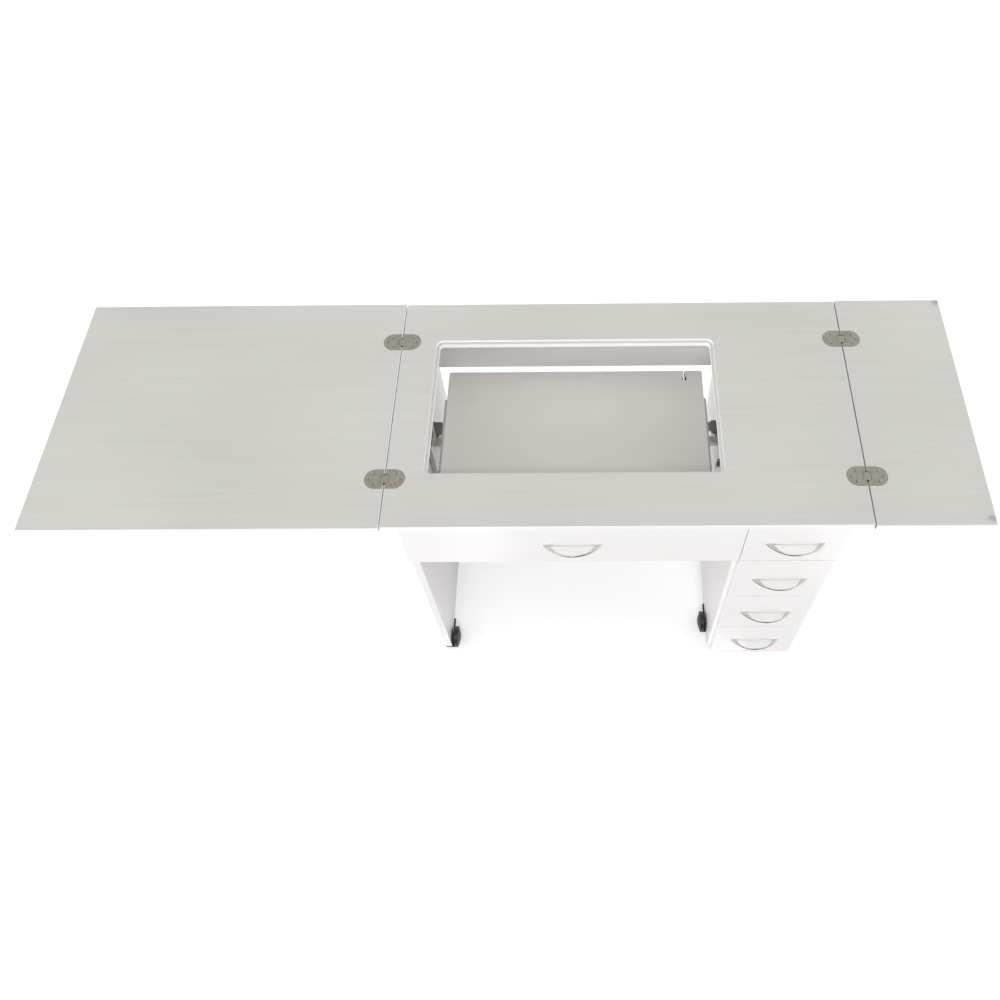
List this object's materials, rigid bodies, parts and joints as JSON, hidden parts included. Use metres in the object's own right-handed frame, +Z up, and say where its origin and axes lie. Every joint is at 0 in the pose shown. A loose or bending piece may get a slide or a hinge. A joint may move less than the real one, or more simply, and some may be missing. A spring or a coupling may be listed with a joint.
{
  "type": "folding sewing and cutting table",
  "caption": "Sewing table with a machine lift in a cut-out, folding side leaves, a tilting front flap, a drawer pedestal and small casters.",
  "frame": {"origin": "middle of the bounding box at floor level, where the caster wheels stand", "axes": "+X to the user's right along the open tops, -Y to the seated user, +Z up"},
  "size_m": [1.8766, 0.5666, 0.7648],
  "materials": {
    "top_laminate": "matt light grey laminate with a fine grain",
    "white_board": "satin white melamine",
    "white_hardboard": "white painted hardboard",
    "platform_board": "matt grey melamine",
    "satin_nickel": "satin nickel plate",
    "hinge_steel": "satin nickel-plated steel",
    "zinc_steel": "bright zinc-plated steel",
    "lift_steel": "satin grey powder coat",
    "spring_steel": "black oiled spring wire",
    "black_nylon": "black nylon",
    "white_nylon": "white nylon",
    "clear_pad": "clear soft pad"
  },
  "bodies": {
    "frame": {"centre_top": "top_laminate", "left_leg_panel": "white_board", "pedestal_left_panel": "white_board", "pedestal_right_panel": "white_board", "pedestal_back_panel": "white_board", "pedestal_bottom_panel": "white_board", "rear_rail": "white_board", "front_rail": "white_board", "hinge_plates_top": "hinge_steel", "hinge_screws_top": "hinge_steel", "flap_hinge_leaves": "zinc_steel", "drawer_cleats": "white_nylon", "lift_side_plates": "lift_steel", "lift_springs": "spring_steel", "lift_latch": "white_nylon", "support_guides": "zinc_steel", "caster_brackets": "black_nylon"},
    "left_hinge_links": {"hinge_links_left": "hinge_steel", "hinge_pins_left": "zinc_steel"},
    "left_leaf": {"left_leaf": "top_laminate", "hinge_plates_left": "hinge_steel", "hinge_screws_left": "hinge_steel"},
    "right_hinge_links": {"hinge_links_right": "hinge_steel", "hinge_pins_right": "zinc_steel"},
    "right_leaf": {"right_leaf": "top_laminate", "hinge_plates_right": "hinge_steel", "hinge_screws_right": "hinge_steel", "leaf_bumpers": "clear_pad"},
    "front_flap": {"front_flap": "white_board", "flap_handle": "satin_nickel", "flap_hinge_arms": "zinc_steel"},
    "lift_upper_arms": {"lift_upper_arms": "lift_steel"},
    "lift_lower_arms": {"lift_lower_arms": "lift_steel"},
    "lift_platform": {"lift_platform": "platform_board", "platform_rails": "lift_steel"},
    "left_front_bar": {"support_bar_left_front": "white_board"},
    "left_rear_bar": {"support_bar_left_rear": "white_board"},
    "right_bar": {"support_bar_right": "white_board"},
    "drawer_1": {"drawer_front_1": "white_board", "drawer_handle_1": "satin_nickel", "drawer_shell_1": "white_board", "drawer_bottom_1": "white_hardboard"},
    "drawer_2": {"drawer_front_2": "white_board", "drawer_handle_2": "satin_nickel", "drawer_shell_2": "white_board", "drawer_bottom_2": "white_hardboard"},
    "drawer_3": {"drawer_front_3": "white_board", "drawer_handle_3": "satin_nickel", "drawer_shell_3": "white_board", "drawer_bottom_3": "white_hardboard"},
    "drawer_4": {"drawer_front_4": "white_board", "drawer_handle_4": "satin_nickel", "drawer_shell_4": "white_board", "drawer_bottom_4": "white_hardboard"},
    "caster_wheel_1": {"caster_wheel_1": "black_nylon"},
    "caster_wheel_2": {"caster_wheel_2": "black_nylon"},
    "caster_wheel_3": {"caster_wheel_3": "black_nylon"},
    "caster_wheel_4": {"caster_wheel_4": "black_nylon"},
    "caster_wheel_5": {"caster_wheel_5": "black_nylon"},
    "caster_wheel_6": {"caster_wheel_6": "black_nylon"}
  },
  "joints": [
    {"name": "left_link_turn", "type": "hinge", "parent": "frame", "child": "left_hinge_links", "pos_m": [-0.2338, 0.00935, 0.7587], "axis": [0, 1, 0], "range_deg": [0, 90]},
    {"name": "left_leaf_fold", "type": "hinge", "parent": "left_hinge_links", "child": "left_leaf", "pos_m": [-0.2434, 0.00935, 0.7587], "axis": [0, 1, 0], "range_deg": [0, 90]},
    {"name": "right_link_turn", "type": "hinge", "parent": "frame", "child": "right_hinge_links", "pos_m": [0.7042, 0.00935, 0.7587], "axis": [0, -1, 0], "range_deg": [0, 90]},
    {"name": "right_leaf_fold", "type": "hinge", "parent": "right_hinge_links", "child": "right_leaf", "pos_m": [0.7138, 0.00935, 0.7587], "axis": [0, -1, 0], "range_deg": [0, 90]},
    {"name": "flap_tilt", "type": "hinge", "parent": "frame", "child": "front_flap", "pos_m": [0.13007, -0.24065, 0.5795], "axis": [1, 0, 0], "range_deg": [0, 90]},
    {"name": "upper_arm_turn", "type": "hinge", "parent": "frame", "child": "lift_upper_arms", "pos_m": [0.13445, 0.12035, 0.5], "axis": [-1, 0, 0], "range_deg": [0, 35.9]},
    {"name": "lower_arm_turn", "type": "hinge", "parent": "frame", "child": "lift_lower_arms", "pos_m": [0.13445, 0.12035, 0.44], "axis": [-1, 0, 0], "range_deg": [0, 36]},
    {"name": "platform_level", "type": "hinge", "parent": "lift_upper_arms", "child": "lift_platform", "pos_m": [0.13445, -0.04134, 0.4475], "axis": [-1, 0, 0], "range_deg": [-36, 0]},
    {"name": "drawer_1_slide", "type": "slide", "parent": "frame", "child": "drawer_1", "axis": [0, -1, 0], "range_m": [0, 0.32]},
    {"name": "drawer_2_slide", "type": "slide", "parent": "frame", "child": "drawer_2", "axis": [0, -1, 0], "range_m": [0, 0.32]},
    {"name": "drawer_3_slide", "type": "slide", "parent": "frame", "child": "drawer_3", "axis": [0, -1, 0], "range_m": [0, 0.32]},
    {"name": "drawer_4_slide", "type": "slide", "parent": "frame", "child": "drawer_4", "axis": [0, -1, 0], "range_m": [0, 0.32]},
    {"name": "left_front_bar_slide", "type": "slide", "parent": "frame", "child": "left_front_bar", "axis": [1, 0, 0], "range_m": [0, 0.425]},
    {"name": "left_rear_bar_slide", "type": "slide", "parent": "frame", "child": "left_rear_bar", "axis": [1, 0, 0], "range_m": [0, 0.425]},
    {"name": "right_bar_slide", "type": "slide", "parent": "frame", "child": "right_bar", "axis": [-1, 0, 0], "range_m": [0, 0.12]},
    {"name": "caster_1_spin", "type": "hinge", "parent": "frame", "child": "caster_wheel_1", "pos_m": [-0.1958, -0.21965, 0.025], "axis": [1, 0, 0], "continuous": true},
    {"name": "caster_2_spin", "type": "hinge", "parent": "frame", "child": "caster_wheel_2", "pos_m": [-0.1958, 0.24485, 0.025], "axis": [1, 0, 0], "continuous": true},
    {"name": "caster_3_spin", "type": "hinge", "parent": "frame", "child": "caster_wheel_3", "pos_m": [0.4647, -0.18215, 0.025], "axis": [1, 0, 0], "continuous": true},
    {"name": "caster_4_spin", "type": "hinge", "parent": "frame", "child": "caster_wheel_4", "pos_m": [0.4647, 0.20735, 0.025], "axis": [1, 0, 0], "continuous": true},
    {"name": "caster_5_spin", "type": "hinge", "parent": "frame", "child": "caster_wheel_5", "pos_m": [0.6562, -0.18215, 0.025], "axis": [1, 0, 0], "continuous": true},
    {"name": "caster_6_spin", "type": "hinge", "parent": "frame", "child": "caster_wheel_6", "pos_m": [0.6562, 0.20735, 0.025], "axis": [1, 0, 0], "continuous": true}
  ],
  "couplings": [
    {"joint": "platform_level", "follows": "upper_arm_turn", "ratio": -1},
    {"joint": "lower_arm_turn", "follows": "upper_arm_turn", "ratio": 1}
  ]
}
